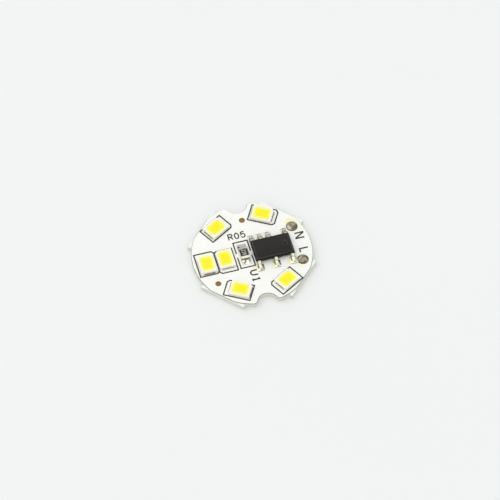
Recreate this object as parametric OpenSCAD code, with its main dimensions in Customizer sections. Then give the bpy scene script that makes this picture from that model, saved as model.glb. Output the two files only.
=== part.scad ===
// Round LED board for mains voltage: an aluminium plate with an insulating layer, copper,
// white mask and printed legend, six surface-mount LEDs, a driver chip and one resistor.
// The origin is the middle of the underside. +X runs along the chip towards the two wire pads,
// +Y towards the far screw notch, +Z up out of the lit face.

/* [Board] */
// Diameter of the round board
board_d = 18; // [17.6:0.2:24]
// Finished thickness, from the bare underside to the top of the white mask
board_t = 1; // [0.8:0.1:1.6]
// Thickness of the insulating layer on the plate
insulation_t = 0.08; // [0.05:0.01:0.15]
// Thickness of the copper foil
copper_t = 0.04; // [0.03:0.01:0.07]
// Thickness of the white mask over the copper
mask_t = 0.04; // [0.03:0.01:0.06]
// How far the edge of the mask stays inside the edge of the plate
mask_inset = 0.06; // [0.02:0.02:0.2]
// Room between a land of the chip, the resistor or a wire and the edge of its window in the mask
mask_clear = 0.05; // [0.02:0.01:0.1]
// Thickness of the printed legend
ink_t = 0.03; // [0.02:0.01:0.04]

/* [Rim] */
// Radius of the two half-round screw notches
notch_r = 1.6; // [1.1:0.1:2]
// Rounding of the outer corners of the notches
notch_corner_r = 0.5; // [0.2:0.1:0.8]
// How far the four snapped edges lie inside the round
snap_in = 0.14; // [0.05:0.01:0.3]
// Depth of the score groove, from each face
score_depth = 0.33; // [0.2:0.01:0.38]
// Full angle of the score groove
score_angle = 30; // [20:5:60]
// Radius of the cutter that routed the round stretches
router_r = 0.5; // [0.4:0.05:0.8]
// Angle from the middle of a snapped edge to the start of a routed stretch
tab_angle = 25.5; // [24:0.5:28]

/* [LED package] */
// Length over the two terminals
led_l = 3.35; // [3.1:0.05:3.6]
// Width of the white housing
led_w = 2.5; // [2.2:0.05:2.9]
// Height of the package
led_h = 0.5; // [0.4:0.05:0.9]
// How far each terminal stands out of the housing
led_terminal_out = 0.1; // [0.05:0.05:0.2]
// Thickness of the terminals
led_terminal_t = 0.15; // [0.1:0.01:0.26]
// Width of the terminals
led_terminal_w = 1.7; // [1.3:0.1:2.3]
// Length of the short terminal
led_anode_l = 0.75; // [0.6:0.05:0.9]
// Gap between the two terminals
led_terminal_gap = 0.5; // [0.3:0.05:0.7]
// Draft of the outer walls, on each side
led_draft = 0.03; // [0.02:0.01:0.12]
// Distance from the end of the package to the cup's floor
cup_end_wall = 0.615; // [0.55:0.005:0.85]
// Distance from the side of the package to the cup's floor
cup_side_wall = 0.44; // [0.38:0.01:0.8]
// Rounding of the cup's corners
cup_corner_r = 0.3; // [0.15:0.05:0.5]
// How far the cup's wall leans out for each millimetre of height
cup_slope = 0.4; // [0.2:0.05:0.5]
// How far the phosphor filling stays under the rim of the cup
fill_drop = 0.03; // [0.01:0.01:0.08]
// Cut-off corner of the housing that marks the cathode
led_mark = 0.35; // [0.2:0.05:0.4]

/* [Layout] */
// Gaps along the middle row from rim to rim, between LED, LED, resistor, chip and wire pads
row_gaps = [0.752, 0.371, 1.052, 0.645, 0.085, 1.235]; // [0.01:0.001:3]
// Distance of each LED in the row from the X axis
row_led_y = [-0.33, -0.16]; // [-0.5:0.01:0.5]
// Distance of each outer LED's centre from the rim
led_rim_gap = [2.16, 2.03, 2.16, 1.91]; // [1.6:0.01:3]
// Direction of each outer LED's centre from the middle of the board
led_angle = [126.2, 62.2, 240.2, 301.6]; // [0:0.1:360]
// Turn of each LED's long side from +X, the two in the row first
led_turn = [90, 90, 30, -30, -30, 30]; // [-90:1:90]
// Distance of each copper dot from the rim
dot_rim_gap = [2.94, 1.61]; // [1.5:0.01:4]
// Direction of each copper dot from the middle of the board
dot_angle = [88.9, 212.2]; // [0:0.1:360]

/* [Legend] */
// Shift along X of each printed frame's centre from the centre of its LED
frame_shift_x = [0.02, 0.01, 0.08, 0.12, -0.24, -0.13]; // [-0.4:0.01:0.4]
// Shift along Y of each printed frame's centre from the centre of its LED
frame_shift_y = [0.19, -0.18, 0.07, -0.04, 0.09, -0.04]; // [-0.4:0.01:0.4]
// How much longer than its LED each printed frame is
frame_extra_l = [0.68, 0.66, 0.7, 0.7, 0.7, 0.78]; // [0.5:0.01:1]
// How much wider than its LED each printed frame is
frame_extra_w = [0.46, 0.26, 0.24, 0.24, 0.24, 0.24]; // [0:0.01:0.6]
// Width of a printed line
ink_w = 0.19; // [0.12:0.01:0.25]
// Size of the cut-off corners of the frames
frame_cut = 0.34; // [0.2:0.02:0.6]

/* [Driver chip] */
// Centre of the chip along Y
chip_y = -0.2; // [-0.4:0.02:0]
// Length of the moulded body
chip_l = 6; // [5.8:0.02:6.1]
// Width of the moulded body
chip_w = 3.7; // [3.4:0.02:4]
// Height of the moulded body
chip_h = 0.93; // [0.8:0.01:1.4]
// Gap under the moulded body
chip_standoff = 0.1; // [0.05:0.01:0.15]
// Draft of the long sides of the moulded body, on each half
chip_side_draft = 0.16; // [0.05:0.01:0.2]
// Draft of the short ends of the moulded body, on each half
chip_end_draft = 0.26; // [0.05:0.01:0.3]
// Distance between two lead places
lead_pitch = 1.27; // [1.2:0.01:1.3]
// Distance over the tips of the leads
lead_span = 6; // [5.7:0.05:6.3]
// Width of a lead
lead_w = 0.42; // [0.3:0.02:0.5]
// Thickness of a lead
lead_t = 0.2; // [0.15:0.01:0.25]
// Length of a lead inside the body
lead_root = 0.4; // [0.3:0.05:0.6]
// Flat length of a lead beside the body
lead_shoulder = 0.28; // [0.2:0.02:0.35]
// Lean of a lead's leg from upright
lead_lean = 12; // [5:1:20]
// Bend radius of a lead
lead_bend_r = 0.16; // [0.12:0.01:0.2]
// Diameter of the round mould mark on top
dimple_d = 0.9; // [0.6:0.1:1.2]
// Depth of the round mould mark
dimple_depth = 0.04; // [0.02:0.01:0.08]
// Distance of the mould mark from the end of the body
dimple_inset = 1.1; // [0.8:0.1:1.6]

/* [Resistor] */
// Centre of the resistor along Y
res_y = 0.1; // [0:0.02:0.2]
// Length over the two end caps
res_l = 2; // [1.9:0.05:2.1]
// Width of the resistor
res_w = 1.25; // [1.1:0.05:1.3]
// Height of the resistor
res_h = 0.5; // [0.4:0.05:0.6]
// Length of an end cap on top and underneath
res_cap_l = 0.4; // [0.3:0.05:0.5]
// Thickness of the metal of an end cap
res_cap_t = 0.05; // [0.04:0.01:0.08]
// How far the black coat stands above the end caps
res_coat_rise = 0.03; // [0.01:0.01:0.05]
// Length of the printed brackets round the resistor
bracket_l = 4.65; // [4.4:0.05:4.8]
// Width of the printed brackets round the resistor
bracket_w = 2.17; // [2:0.01:2.3]
// Opening between the two brackets
bracket_gap = 0.74; // [0.5:0.02:1]

/* [Solder and lands] */
// Height of every soldered piece above the mask
seat_gap = 0.05; // [0.04:0.01:0.08]
// How far a land reaches past an LED terminal
led_land_out = 0.02; // [0.01:0.01:0.1]
// How far a land reaches past the tip of a chip lead
lead_land_out = 0.22; // [0.1:0.02:0.5]
// How far a land reaches behind the foot of a chip lead
lead_land_in = 0.18; // [0.1:0.02:0.25]
// Width of the land of a chip lead
lead_land_w = 0.84; // [0.7:0.02:0.95]
// How far a land reaches past an end cap of the resistor
res_land_out = 0.8; // [0.5:0.02:0.9]
// How high solder climbs the foot of a chip lead
lead_climb = 0.12; // [0.05:0.01:0.18]
// How high solder climbs an end cap of the resistor
res_climb = 0.32; // [0.1:0.02:0.4]
// Diameter of the two wire pads
wire_pad_d = 1.65; // [1.4:0.05:1.75]
// Distance of each wire pad from the X axis
wire_pad_y = 3.05; // [2.9:0.05:3.3]
// Height of the solder dome on a wire pad, above its land
wire_dome_h = 0.36; // [0.2:0.02:0.5]
// Width of a copper track
track_w = 0.4; // [0.3:0.05:0.45]
// Diameter of the bare copper dots
dot_d = 0.92; // [0.8:0.02:1.1]
// How far the copper of a dot reaches under the mask
dot_overlap = 0.15; // [0.1:0.01:0.2]

/* [Hidden] */
$fn = 64;
// Overshoot of a cutting shape past the face that it opens
over = 0.2;
// How far the start of a routed stretch bites into the round, so that the two cuts cross
router_bite = 0.03;
// Points along one rounded bend
bend_steps = 5;
// Steps along one rounded corner of a notch
corner_steps = 8;
// Points from the rim to the top of a solder dome
dome_steps = 10;

LED_COUNT = len(led_turn);
// Place of each lead: steps of the pitch along X from the middle of the chip, and its side
LEADS = [
    [-2, 1],
    [-1, 1],
    [0, 1],
    [2, 1],
    [-2, -1],
    [0, -1],
    [2, -1]
];
// Corners of each frame that are cut off, from the one at minus X, minus Y and then anticlockwise
FRAME_CUTS = [
    [1, 1, 0, 0],
    [0, 0, 1, 1],
    [0, 1, 0, 0],
    [0, 1, 1, 0],
    [0, 0, 0, 1],
    [0, 0, 0, 1]
];

board_r = board_d / 2;
copper_top = board_t - mask_t;
copper_bottom = copper_top - copper_t;
plate_t = copper_bottom - insulation_t;
seat_z = board_t + seat_gap;
solder_t = seat_z - copper_top;
web_half = board_r - snap_in;
score_reach = score_depth * tan(score_angle / 2);

led_shell_l = led_l - 2 * led_terminal_out;
led_cathode_l = led_l - led_anode_l - led_terminal_gap;
cup_floor_l = led_l - 2 * cup_end_wall;
cup_floor_w = led_w - 2 * cup_side_wall;
cup_h = led_h - led_terminal_t;
// Length, width and height of the light-emitting die
die_size = [0.75, 0.5, 0.14];

chip_part_z = chip_standoff + chip_h / 2;
lead_reach = (lead_span - chip_w) / 2;
lead_knee = lead_shoulder + (chip_part_z - lead_t / 2) * tan(lead_lean);
lead_foot_start = lead_knee + lead_bend_r;
lead_land_start = lead_foot_start - lead_land_in;
lead_land_l = lead_reach + lead_land_out - lead_land_start;

// Reach along X from the middle of the chip to the far side of its last land
lead_side = max([for (lead = LEADS) lead[0]]) * lead_pitch + lead_land_w / 2;
// The row's pieces along X. Its gaps keep their shares of what the pieces leave free
row_sizes = [led_w, led_w, res_w, chip_l / 2 + lead_side, wire_pad_d];
row_stretch = (board_d - total(row_sizes, len(row_sizes))) / total(row_gaps, len(row_gaps));
res_x = row_x(2);
chip_x = row_x(3) + (chip_l / 2 - lead_side) / 2;
wire_pad_x = row_x(4);
// Straight lanes for the tracks: beside the far copper dot, and between LED 2 and the resistor
lane_y = dot_at(0)[1] - dot_d / 2 - dot_overlap - track_w;
lane_x = (row_x(1) + led_terminal_w / 2 + res_x - res_w / 2) / 2;

// Places

function polar(r, a) = r * [cos(a), sin(a)];
function total(list, n) = n == 0 ? 0 : list[n - 1] + total(list, n - 1);
function row_x(i) =
    -board_r + total(row_gaps, i + 1) * row_stretch + total(row_sizes, i) + row_sizes[i] / 2;
function outer_led_at(i) = polar(board_r - led_rim_gap[i], led_angle[i]);
function led_at(i) =
    i < len(row_led_y) ? [row_x(i), row_led_y[i]] : outer_led_at(i - len(row_led_y));
function dot_at(i) = polar(board_r - dot_rim_gap[i], dot_angle[i]);
function led_end(i, side) = led_at(i) + polar(side * (led_l - led_anode_l) / 2, led_turn[i]);
function lead_land(i) = [
    chip_x + LEADS[i][0] * lead_pitch,
    chip_y + LEADS[i][1] * (chip_w / 2 + lead_land_start + lead_land_l / 2)
];
function res_land(side) = [res_x, res_y + side * (res_l / 2 + res_land_out / 2)];
function wire_pad(side) = [wire_pad_x, side * wire_pad_y];

module at_led(i) {
    translate([led_at(i)[0], led_at(i)[1], 0])
        rotate([0, 0, led_turn[i]])
            children();
}

// The parting line of the chip's body beside one lead, with +Y pointing away from the body
module at_lead(i) {
    translate([chip_x + LEADS[i][0] * lead_pitch, chip_y, 0])
        rotate([0, 0, LEADS[i][1] > 0 ? 0 : 180])
            translate([0, chip_w / 2, 0])
                children();
}

// The middle of the resistor's underside, with its length along X
module at_resistor() {
    translate([res_x, res_y, seat_z])
        rotate([0, 0, 90])
            children();
}

// Lines of even width

function unit(v) = v / norm(v);
function left_of(a, b) = let (d = unit(b - a)) [-d[1], d[0]];
function mitre(a, p, b) = let (n = left_of(p, b), m = unit(left_of(a, p) + n)) m / (m * n);
function open_mitre(path, i) =
    i == 0 ? left_of(path[0], path[1]) :
    i == len(path) - 1 ? left_of(path[i - 1], path[i]) :
    mitre(path[i - 1], path[i], path[i + 1]);
function loop_mitre(path, i) =
    let (n = len(path)) mitre(path[(i + n - 1) % n], path[i], path[(i + 1) % n]);

module open_line(path, w) {
    right = [for (i = [0:len(path) - 1]) path[i] - open_mitre(path, i) * w / 2];
    left = [for (i = [len(path) - 1:-1:0]) path[i] + open_mitre(path, i) * w / 2];
    polygon(concat(right, left));
}

module closed_line(path, w) {
    difference() {
        polygon([for (i = [0:len(path) - 1]) path[i] - loop_mitre(path, i) * w / 2]);
        polygon([for (i = [0:len(path) - 1]) path[i] + loop_mitre(path, i) * w / 2]);
    }
}

// A path with each inner corner turned into a smooth bend
function bend(a, p, b, r) =
    let (
        turn = acos(unit(p - a) * unit(b - p)),
        back = r * tan(turn / 2),
        start = p - unit(p - a) * back,
        end = p + unit(b - p) * back
    )
    [
        for (k = [0:bend_steps])
            let (t = k / bend_steps)
            start * (1 - t) ^ 2 + 2 * p * t * (1 - t) + end * t ^ 2
    ];
function bent(path, r) = concat(
    [path[0]],
    [for (i = [1:len(path) - 2]) each bend(path[i - 1], path[i], path[i + 1], r)],
    [path[len(path) - 1]]
);

// Outlines of the board

// One half-round screw notch at the +Y rim, with rounded outer corners
module notch(grow) {
    r = notch_r + grow;
    c = notch_corner_r;
    inner = board_r - grow - c;
    corner_y = (inner ^ 2 + board_r ^ 2 - (r + c) ^ 2) / (2 * board_r);
    corner_x = sqrt(inner ^ 2 - corner_y ^ 2);
    to_rim = atan2(corner_y, corner_x);
    to_notch = atan2(board_r - corner_y, -corner_x);
    rounding = [
        for (k = [0:corner_steps])
            [corner_x, corner_y] + polar(c, to_notch + (to_rim - to_notch) * k / corner_steps)
    ];
    right = concat(rounding, [[rounding[corner_steps][0], board_r + over]]);
    left = [for (k = [len(right) - 1:-1:0]) [-right[k][0], right[k][1]]];
    translate([0, board_r])
        circle(r = r);
    polygon(concat([[0, board_r]], right, left));
}

module notches(grow) {
    for (a = [0, 180])
        rotate(a)
            notch(grow);
}

module round_outline(inset) {
    difference() {
        circle(r = board_r - inset);
        notches(inset);
    }
}

// What the router took away at one round stretch, centred on +X
module routed_stretch() {
    half = 45 - tab_angle;
    far = 2 * board_r;
    difference() {
        polygon([[0, 0], polar(far, -half), polar(far, half)]);
        circle(r = board_r);
    }
    for (a = [-half, half])
        translate(polar(board_r + router_r - router_bite, a))
            circle(r = router_r);
}

// The plate's outline: square snapped edges at 45 degrees, round stretches between them
// and a pointed nub where each snapped edge meets a round stretch
module plate_outline() {
    difference() {
        rotate(45)
            square(2 * web_half, center = true);
        for (a = [0:90:270])
            rotate(a)
                routed_stretch();
        notches(0);
    }
}

// The score grooves above and below the four snapped edges
module score_grooves(inset) {
    lip = score_reach * (1 + over / score_depth);
    for (a = [45:90:315])
        rotate([0, 0, a])
            translate([web_half - inset, 0, 0])
                rotate([90, 0, 0])
                    linear_extrude(height = board_d, center = true) {
                        polygon([
                            [0, board_t - score_depth],
                            [-lip, board_t + over],
                            [board_r, board_t + over],
                            [board_r, board_t - score_depth]
                        ]);
                        polygon([
                            [0, score_depth],
                            [-lip, -over],
                            [board_r, -over],
                            [board_r, score_depth]
                        ]);
                    }
}

// Copper

module led_lands(grow) {
    for (i = [0:LED_COUNT - 1])
        at_led(i) {
            translate([-led_l / 2 - led_land_out - grow, -led_terminal_w / 2 - grow])
                square([led_anode_l + led_land_out + 2 * grow, led_terminal_w + 2 * grow]);
            translate([led_l / 2 - led_cathode_l - grow, -led_terminal_w / 2 - grow])
                square([led_cathode_l + led_land_out + 2 * grow, led_terminal_w + 2 * grow]);
        }
}

module lead_lands(grow) {
    for (i = [0:len(LEADS) - 1])
        at_lead(i)
            translate([-lead_land_w / 2 - grow, lead_land_start - grow])
                square([lead_land_w + 2 * grow, lead_land_l + 2 * grow]);
}

module res_lands(grow) {
    for (a = [0, 180])
        translate([res_x, res_y])
            rotate(a)
                translate([-res_w / 2 - grow, res_l / 2 - res_cap_l - grow])
                    square([res_w + 2 * grow, res_cap_l + res_land_out + 2 * grow]);
}

module wire_lands(grow) {
    for (side = [-1, 1])
        translate(wire_pad(side))
            circle(d = wire_pad_d + 2 * grow);
}

// The tracks join mains to chip, chip to resistor, and the LEDs in one row
module tracks() {
    open_line([wire_pad(1), lead_land(3)], track_w);
    open_line([wire_pad(-1), lead_land(6)], track_w);
    open_line([lead_land(0), [res_x + res_w / 2, lead_land(0)[1]], res_land(1)], track_w);
    open_line([lead_land(4), [res_x + res_w / 2, lead_land(4)[1]], res_land(-1)], track_w);
    open_line([lead_land(2), led_end(3, 1)], track_w);
    open_line([
        led_end(3, -1),
        [led_end(3, -1)[0], lane_y],
        [led_end(2, 1)[0], lane_y],
        led_end(2, 1)
    ], track_w);
    open_line([led_end(2, -1), led_end(0, 1)], track_w);
    open_line([led_end(0, -1), led_end(1, -1)], track_w);
    open_line([
        led_end(1, 1),
        [lane_x, led_end(1, 1)[1]],
        [lane_x, (led_end(1, -1)[1] + led_end(4, -1)[1]) / 2],
        led_end(4, -1)
    ], track_w);
    open_line([
        led_end(4, 1),
        [led_end(4, 1)[0], -lane_y],
        [led_end(5, -1)[0], -lane_y],
        led_end(5, -1)
    ], track_w);
    open_line([led_end(5, 1), lead_land(5)], track_w);
}

module copper_shape() {
    led_lands(0);
    lead_lands(0);
    res_lands(0);
    wire_lands(0);
    tracks();
}

module dot_shape(grow) {
    for (i = [0:len(dot_angle) - 1])
        translate(dot_at(i))
            circle(d = dot_d + 2 * grow);
}

// Board pieces

module base_plate() {
    color("silver")
        difference() {
            linear_extrude(height = plate_t)
                plate_outline();
            score_grooves(0);
        }
}

module insulation_layer() {
    color("gainsboro")
        translate([0, 0, plate_t])
            difference() {
                linear_extrude(height = insulation_t)
                    round_outline(0);
                translate([0, 0, -plate_t])
                    score_grooves(0);
            }
}

module copper_tracks() {
    color("peru")
        translate([0, 0, copper_bottom])
            linear_extrude(height = copper_t)
                copper_shape();
}

module copper_dots() {
    color("sienna")
        translate([0, 0, copper_bottom])
            linear_extrude(height = copper_t)
                dot_shape(dot_overlap);
}

module solder_mask() {
    color("white")
        difference() {
            translate([0, 0, copper_bottom])
                linear_extrude(height = copper_t + mask_t)
                    round_outline(mask_inset);
            score_grooves(mask_inset);
            translate([0, 0, copper_bottom - over])
                linear_extrude(height = copper_t + over) {
                    copper_shape();
                    dot_shape(dot_overlap);
                }
            translate([0, 0, copper_bottom - over])
                linear_extrude(height = copper_t + mask_t + 2 * over) {
                    led_lands(0);
                    lead_lands(mask_clear);
                    res_lands(mask_clear);
                    wire_lands(mask_clear);
                    dot_shape(0);
                }
        }
}

// The corners of one frame, each one either a point or the two ends of its cut
function frame_path(l, w, cuts) =
    let (
        corners = [[-l, -w] / 2, [l, -w] / 2, [l, w] / 2, [-l, w] / 2],
        sides = [[1, 0], [0, 1], [-1, 0], [0, -1]]
    )
    [
        for (k = [0:3])
            each cuts[k] == 0 ? [corners[k]] :
                [corners[k] - sides[(k + 3) % 4] * frame_cut, corners[k] + sides[k] * frame_cut]
    ];

module frame_lines() {
    for (i = [0:LED_COUNT - 1])
        translate(led_at(i) + [frame_shift_x[i], frame_shift_y[i]])
            rotate(led_turn[i])
                closed_line(
                    frame_path(led_l + frame_extra_l[i], led_w + frame_extra_w[i], FRAME_CUTS[i]),
                    ink_w
                );
}

module bracket_lines() {
    translate([res_x, res_y])
        for (a = [0, 180])
            rotate(a)
                open_line([
                    [bracket_w / 2, bracket_gap / 2],
                    [bracket_w / 2, bracket_l / 2],
                    [-bracket_w / 2, bracket_l / 2],
                    [-bracket_w / 2, bracket_gap / 2]
                ], ink_w);
}

// The ink stops where the mask is open
module legend_frames() {
    color("darkslategray")
        translate([0, 0, board_t])
            linear_extrude(height = ink_t)
                difference() {
                    union() {
                        frame_lines();
                        bracket_lines();
                    }
                    led_lands(0);
                    lead_lands(mask_clear);
                    res_lands(mask_clear);
                    wire_lands(mask_clear);
                }
}

// LED package, on its own middle with its length along X and its underside at zero

module cup(h) {
    translate([0, 0, led_terminal_t])
        linear_extrude(
            height = h,
            scale = [1 + 2 * h * cup_slope / cup_floor_l, 1 + 2 * h * cup_slope / cup_floor_w],
            slices = 1,
            segments = 1
        )
            offset(r = cup_corner_r, $fn = 24)
                square([cup_floor_l - 2 * cup_corner_r, cup_floor_w - 2 * cup_corner_r], center = true);
}

module anode_shape() {
    translate([-led_l / 2, -led_terminal_w / 2, 0])
        cube([led_anode_l, led_terminal_w, led_terminal_t]);
}

module cathode_shape() {
    translate([led_l / 2 - led_cathode_l, -led_terminal_w / 2, 0])
        cube([led_cathode_l, led_terminal_w, led_terminal_t]);
}

module die_shape() {
    translate([0, 0, led_terminal_t + die_size[2] / 2])
        cube(die_size, center = true);
}

module housing_shape() {
    half_l = led_shell_l / 2;
    half_w = led_w / 2;
    difference() {
        linear_extrude(
            height = led_h,
            scale = [1 - led_draft / half_l, 1 - led_draft / half_w],
            slices = 1,
            segments = 1
        )
            polygon([
                [-half_l, -half_w],
                [half_l, -half_w],
                [half_l, half_w - led_mark],
                [half_l - led_mark, half_w],
                [-half_l, half_w]
            ]);
        cup(cup_h + over);
        anode_shape();
        cathode_shape();
    }
}

module led_housing(i) {
    color("whitesmoke")
        translate([0, 0, seat_z])
            at_led(i)
                housing_shape();
}

module led_anode(i) {
    color("lightgray")
        translate([0, 0, seat_z])
            at_led(i)
                anode_shape();
}

module led_cathode(i) {
    color("lightgray")
        translate([0, 0, seat_z])
            at_led(i)
                cathode_shape();
}

module led_die(i) {
    color("royalblue")
        translate([0, 0, seat_z])
            at_led(i)
                die_shape();
}

module led_phosphor(i) {
    color("yellow")
        translate([0, 0, seat_z])
            at_led(i)
                difference() {
                    cup(cup_h + over);
                    translate([-led_l / 2, -led_w / 2, led_h - fill_drop])
                        cube([led_l, led_w, 2 * over]);
                    die_shape();
                }
}

// Driver chip

module lead_shape() {
    foot_z = lead_t / 2;
    rotate([90, 0, 90])
        linear_extrude(height = lead_w, center = true)
            open_line(bent([
                [-lead_root, chip_part_z],
                [lead_shoulder, chip_part_z],
                [lead_knee, foot_z],
                [lead_reach, foot_z]
            ], lead_bend_r), lead_t);
}

module chip_lead(i) {
    color("silver")
        translate([0, 0, seat_z])
            at_lead(i)
                lead_shape();
}

module chip_half(h) {
    linear_extrude(
        height = h,
        scale = [1 - 2 * chip_end_draft / chip_l, 1 - 2 * chip_side_draft / chip_w],
        slices = 1,
        segments = 1
    )
        square([chip_l, chip_w], center = true);
}

module chip_body() {
    color("dimgray")
        translate([0, 0, seat_z])
            difference() {
                translate([chip_x, chip_y, chip_part_z]) {
                    chip_half(chip_h / 2);
                    mirror([0, 0, 1])
                        chip_half(chip_h / 2);
                }
                for (i = [0:len(LEADS) - 1])
                    at_lead(i)
                        lead_shape();
                translate([
                    chip_x + chip_l / 2 - dimple_inset,
                    chip_y,
                    chip_standoff + chip_h - dimple_depth
                ])
                    cylinder(d = dimple_d, h = over);
            }
}

// Resistor

module core_shape() {
    translate([-res_l / 2 + res_cap_t, -res_w / 2, res_cap_t])
        cube([res_l - 2 * res_cap_t, res_w, res_h - 2 * res_cap_t]);
}

module resistor_core() {
    color("ivory")
        at_resistor()
            core_shape();
}

module resistor_coat() {
    color("black")
        at_resistor()
            translate([-res_l / 2 + res_cap_l, -res_w / 2, res_h - res_cap_t])
                cube([res_l - 2 * res_cap_l, res_w, res_cap_t + res_coat_rise]);
}

module end_cap() {
    difference() {
        translate([res_l / 2 - res_cap_l, -res_w / 2, 0])
            cube([res_cap_l, res_w, res_h]);
        core_shape();
    }
}

module resistor_end_far() {
    color("lightgray")
        at_resistor()
            end_cap();
}

module resistor_end_near() {
    color("lightgray")
        at_resistor()
            mirror([1, 0, 0])
                end_cap();
}

// Solder

// A hollow fillet on a land, rising towards the piece that it holds at X = 0
module fillet(out, climb, w) {
    rotate([90, 0, 0])
        linear_extrude(height = w, center = true)
            polygon(concat(
                [[0, 0], [out, 0]],
                [for (k = [0:bend_steps]) let (t = k / bend_steps)
                    [out * (1 - t) ^ 2, solder_t / 2 + (climb + solder_t / 2) * t ^ 2]]
            ));
}

module led_solder() {
    color("silver")
        translate([0, 0, copper_top])
            for (i = [0:LED_COUNT - 1])
                at_led(i) {
                    for (side = [0, 1])
                        mirror([side, 0, 0])
                            translate([led_l / 2, 0, 0])
                                fillet(led_land_out, led_terminal_t / 2, led_terminal_w);
                    translate([-led_l / 2, -led_terminal_w / 2, 0])
                        cube([led_anode_l, led_terminal_w, solder_t]);
                    translate([led_l / 2 - led_cathode_l, -led_terminal_w / 2, 0])
                        cube([led_cathode_l, led_terminal_w, solder_t]);
                }
}

// One joint under and round the foot of a chip lead
module lead_joint() {
    foot_l = lead_reach - lead_foot_start + 2 * lead_climb;
    difference() {
        hull() {
            translate([-lead_land_w / 2, lead_land_start, copper_top])
                cube([lead_land_w, lead_land_l, solder_t / 2]);
            translate([-lead_w / 2, lead_foot_start - lead_climb, copper_top])
                cube([lead_w, foot_l, solder_t + lead_climb]);
        }
        translate([0, 0, seat_z])
            lead_shape();
    }
}

module chip_solder() {
    color("silver")
        for (i = [0:len(LEADS) - 1])
            at_lead(i)
                lead_joint();
}

module resistor_solder() {
    color("silver")
        translate([0, 0, copper_top - seat_z])
            at_resistor()
                for (side = [0, 1])
                    mirror([side, 0, 0]) {
                        translate([res_l / 2, 0, 0])
                            fillet(res_land_out, res_climb, res_w);
                        translate([res_l / 2 - res_cap_l, -res_w / 2, 0])
                            cube([res_cap_l, res_w, solder_t]);
                    }
}

module pad_dome(side) {
    r = wire_pad_d / 2;
    translate([wire_pad(side)[0], wire_pad(side)[1], copper_top])
        rotate_extrude()
            polygon(concat(
                [[0, 0], [r, 0]],
                [for (k = [0:dome_steps]) let (a = 90 * k / dome_steps)
                    [r * cos(a), solder_t / 2 + (wire_dome_h - solder_t / 2) * sin(a)]]
            ));
}

module line_pad_solder() {
    color("gray")
        pad_dome(-1);
}

module neutral_pad_solder() {
    color("gray")
        pad_dome(1);
}

base_plate();
insulation_layer();
copper_tracks();
copper_dots();
solder_mask();
legend_frames();
for (i = [1:LED_COUNT]) led_housing(i - 1);
for (i = [1:LED_COUNT]) led_anode(i - 1);
for (i = [1:LED_COUNT]) led_cathode(i - 1);
for (i = [1:LED_COUNT]) led_die(i - 1);
for (i = [1:LED_COUNT]) led_phosphor(i - 1);
chip_body();
for (i = [1:len(LEADS)]) chip_lead(i - 1);
resistor_core();
resistor_coat();
resistor_end_far();
resistor_end_near();
led_solder();
chip_solder();
resistor_solder();
line_pad_solder();
neutral_pad_solder();
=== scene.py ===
"""Looks of the round LED board: finishes, printed marks, solder, LED fillings, torn rim and a plain stage."""
import math

import bmesh
import bpy
from bpy.props import FloatProperty, FloatVectorProperty, PointerProperty
from bpy.types import Operator, Panel, PropertyGroup
from mathutils import Matrix, Vector, noise


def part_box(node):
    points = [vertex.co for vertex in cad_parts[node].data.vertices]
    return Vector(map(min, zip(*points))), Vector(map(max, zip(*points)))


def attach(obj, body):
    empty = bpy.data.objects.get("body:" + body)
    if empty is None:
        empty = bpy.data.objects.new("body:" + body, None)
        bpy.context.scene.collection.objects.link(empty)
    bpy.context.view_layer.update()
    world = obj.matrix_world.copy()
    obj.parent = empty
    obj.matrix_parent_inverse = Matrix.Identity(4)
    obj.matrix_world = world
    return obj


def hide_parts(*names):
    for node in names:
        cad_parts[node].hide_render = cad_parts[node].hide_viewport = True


bl_info = {
    "name": "Round LED Board",
    "version": (1, 0, 0),
    "blender": (4, 5, 0),
    "location": "View3D > Sidebar > LED Board",
    "description": "Finishes, printed marks, solder and stage for a round board with six LEDs",
    "category": "Object",
}

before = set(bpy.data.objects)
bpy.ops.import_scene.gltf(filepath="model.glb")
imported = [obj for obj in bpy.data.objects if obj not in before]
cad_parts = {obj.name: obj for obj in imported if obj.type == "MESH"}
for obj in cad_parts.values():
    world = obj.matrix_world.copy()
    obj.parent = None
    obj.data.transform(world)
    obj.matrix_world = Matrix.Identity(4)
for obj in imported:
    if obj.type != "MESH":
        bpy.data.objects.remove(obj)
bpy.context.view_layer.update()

MM = 0.001
LEDS = range(1, 7)
# The chip's leads: four on the far side, three on the near side
FAR_LEADS = range(1, 5)
NEAR_LEADS = range(5, 8)
# Turn of each LED's long side from +X, in degrees
LED_TURNS = (90, 90, 30, -30, -30, 30)
# Direction of each snapped edge from the middle of the board, in degrees
EDGE_TURNS = (45, 135, 225, 315)
# Heights between which a snapped edge is torn, and how far its piece reaches back, in millimetres
TORN_LOW, TORN_HIGH = 0.34, 0.66
TORN_BACK = 0.05
# Waves of a torn face, of a tinned pad's rim and of its top: their strengths, and lengths in millimetres
TORN_WAVES = ((0.6, 0.35), (0.5, 0.11))
RIM_WAVES = ((0.8, 0.7),)
TOP_WAVES = ((1.0, 0.55), (0.5, 0.24))
# How far apart the noise of two seeds is taken
SEED_STEPS = (7.3, 3.1, 5.7)
# Nearly all of a noise texture lies between these values
NOISE_LOW, NOISE_HIGH = 0.3, 0.7
# Vertices closer than this are one, in metres: on a CAD mesh, and after its edges are rounded
JOINED, CLOSED = 1e-6, 1e-7
# The same in a new piece, and the difference of height that counts as none, in millimetres
MERGED, LEVEL = 1e-4, 1e-3
# Corner radius and depth of an LED filling in millimetres, and how much smaller it is at its foot
FILL_CORNER, FILL_DEPTH, FILL_DRAFT = 0.36, 0.2, 0.9
# Size of the dimple's floor as a share of its mouth
DIMPLE_DRAFT = 0.86
# Places along a cup round which yellow light from the phosphor is painted on its housing, and the inner and
# outer reach, in millimetres
GLOW_PLACES = (-0.42, 0, 0.42)
GLOW_REACH = (0.85, 1.3)
# Thickness of the solder on a land in millimetres, and its width at a far lead's tip as a share of the heel's
LAND_SOLDER = 0.07
LAND_TIP = 0.55
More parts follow.
